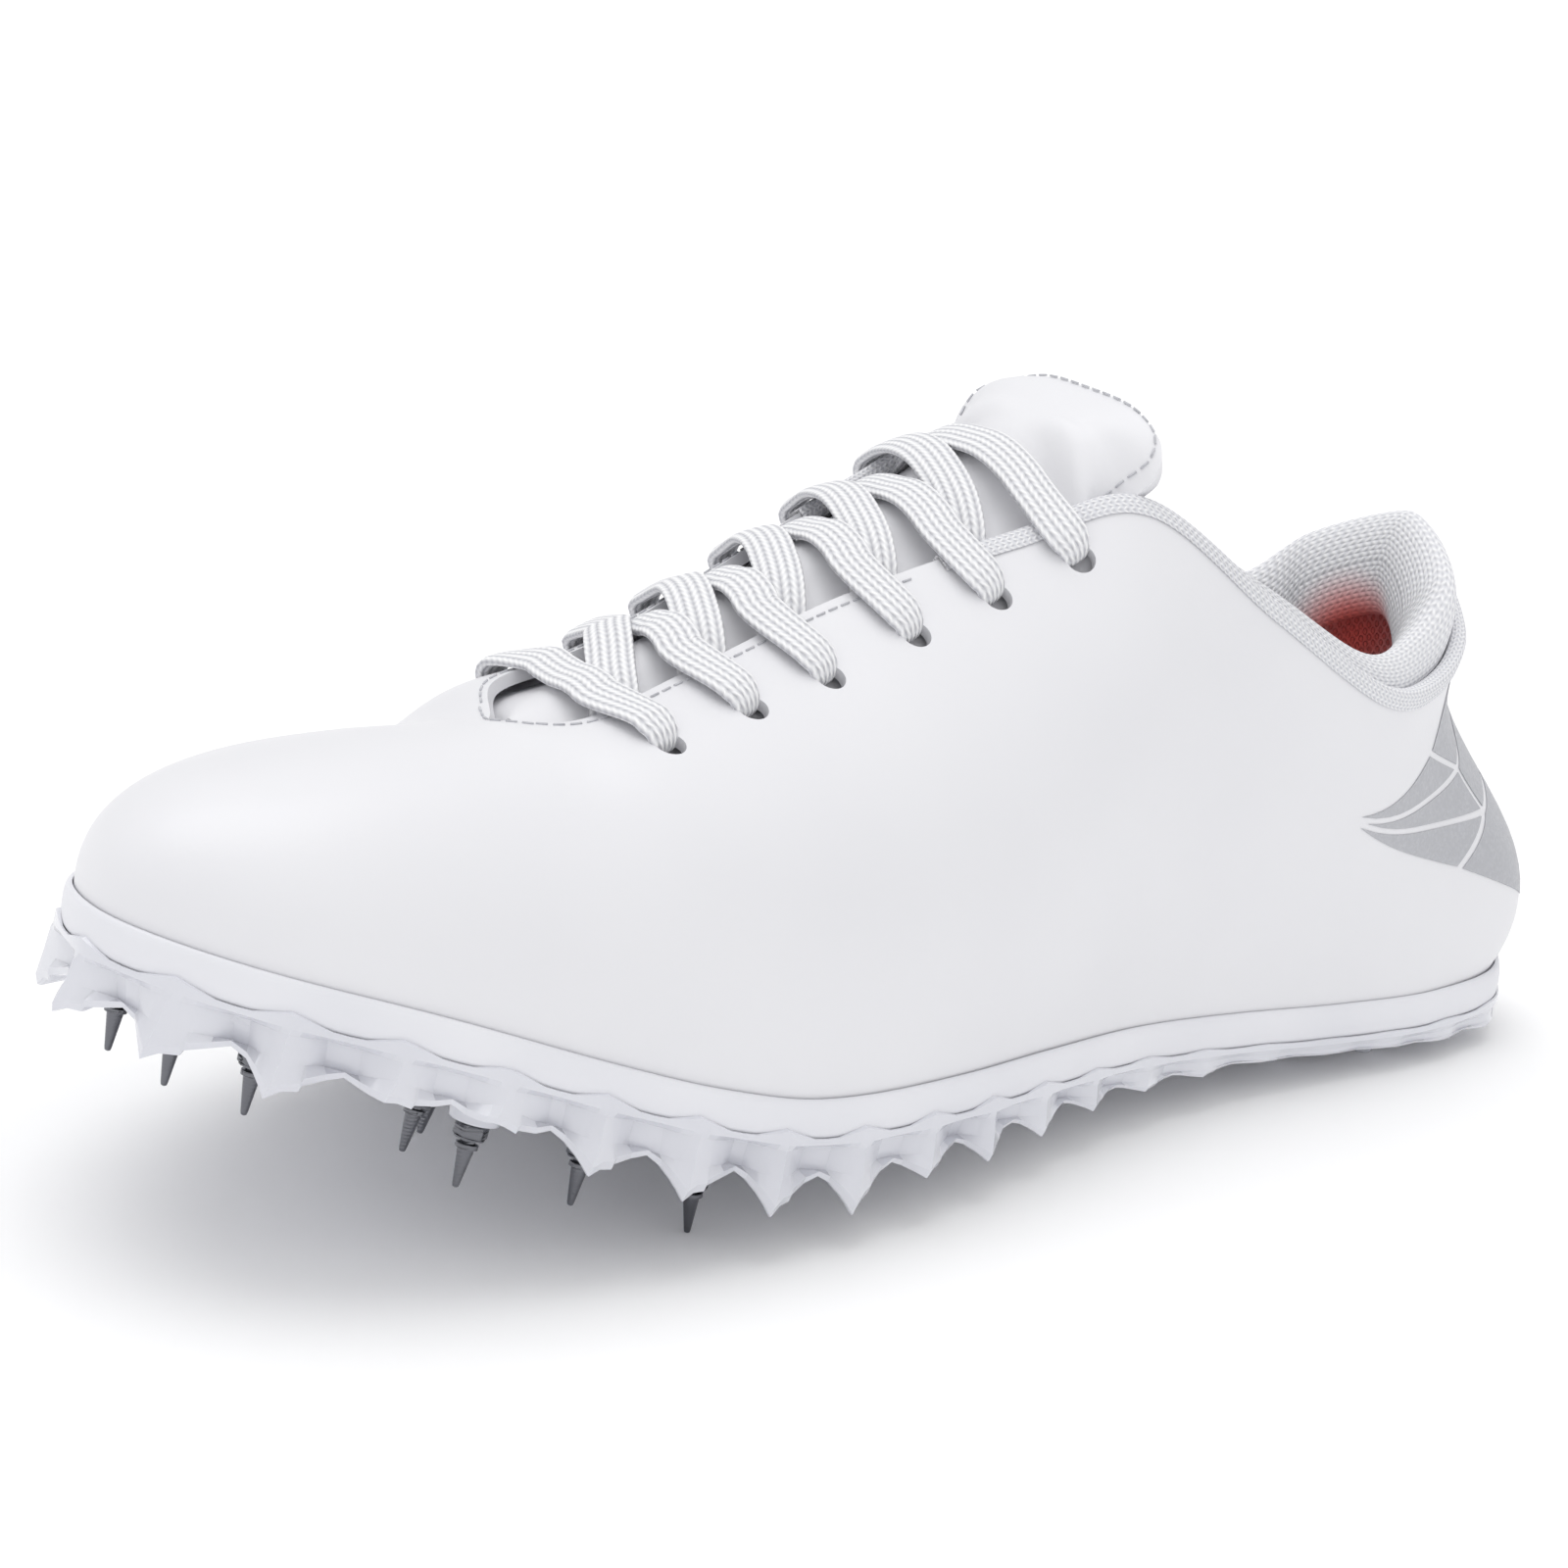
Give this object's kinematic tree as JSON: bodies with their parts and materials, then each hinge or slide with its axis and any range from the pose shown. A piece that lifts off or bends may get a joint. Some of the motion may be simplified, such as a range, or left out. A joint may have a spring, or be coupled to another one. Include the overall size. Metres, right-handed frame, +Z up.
{
  "type": "track spike shoe",
  "caption": "Low running shoe for the right foot: smooth hollow upper, padded collar roll, arched tongue, crossed laces and a toothed sole plate with screwed-in spike pins.",
  "frame": {"origin": "middle of the whole shoe's box in plan, on the floor that it stands on", "axes": "+X from toe to heel, along the shoe; +Y from the inner to the outer side of the foot; +Z up"},
  "size_m": [0.2812, 0.0928, 0.1073],
  "materials": {
    "upper_pu": "smooth white synthetic leather, satin",
    "knit": "white ribbed knit over foam",
    "foam": "white moulded foam, satin",
    "plate": "milky white moulded TPU, glossy",
    "lining": "white mesh lining",
    "lace": "white braided polyester",
    "pin_steel": "polished steel"
  },
  "bodies": {
    "root": {"upper": "upper_pu", "collar_cuff": "knit", "tongue": "upper_pu", "midsole": "foam", "outsole": "plate", "insole": "lining", "laces": "lace", "spike_toe_outer": "pin_steel", "spike_toe_inner": "pin_steel", "spike_toe_middle": "pin_steel", "spike_front_inner": "pin_steel", "spike_front_middle": "pin_steel", "spike_middle": "pin_steel", "spike_tread_inner": "pin_steel", "spike_ball_inner": "pin_steel", "spike_ball_outer": "pin_steel"}
  },
  "joints": []
}
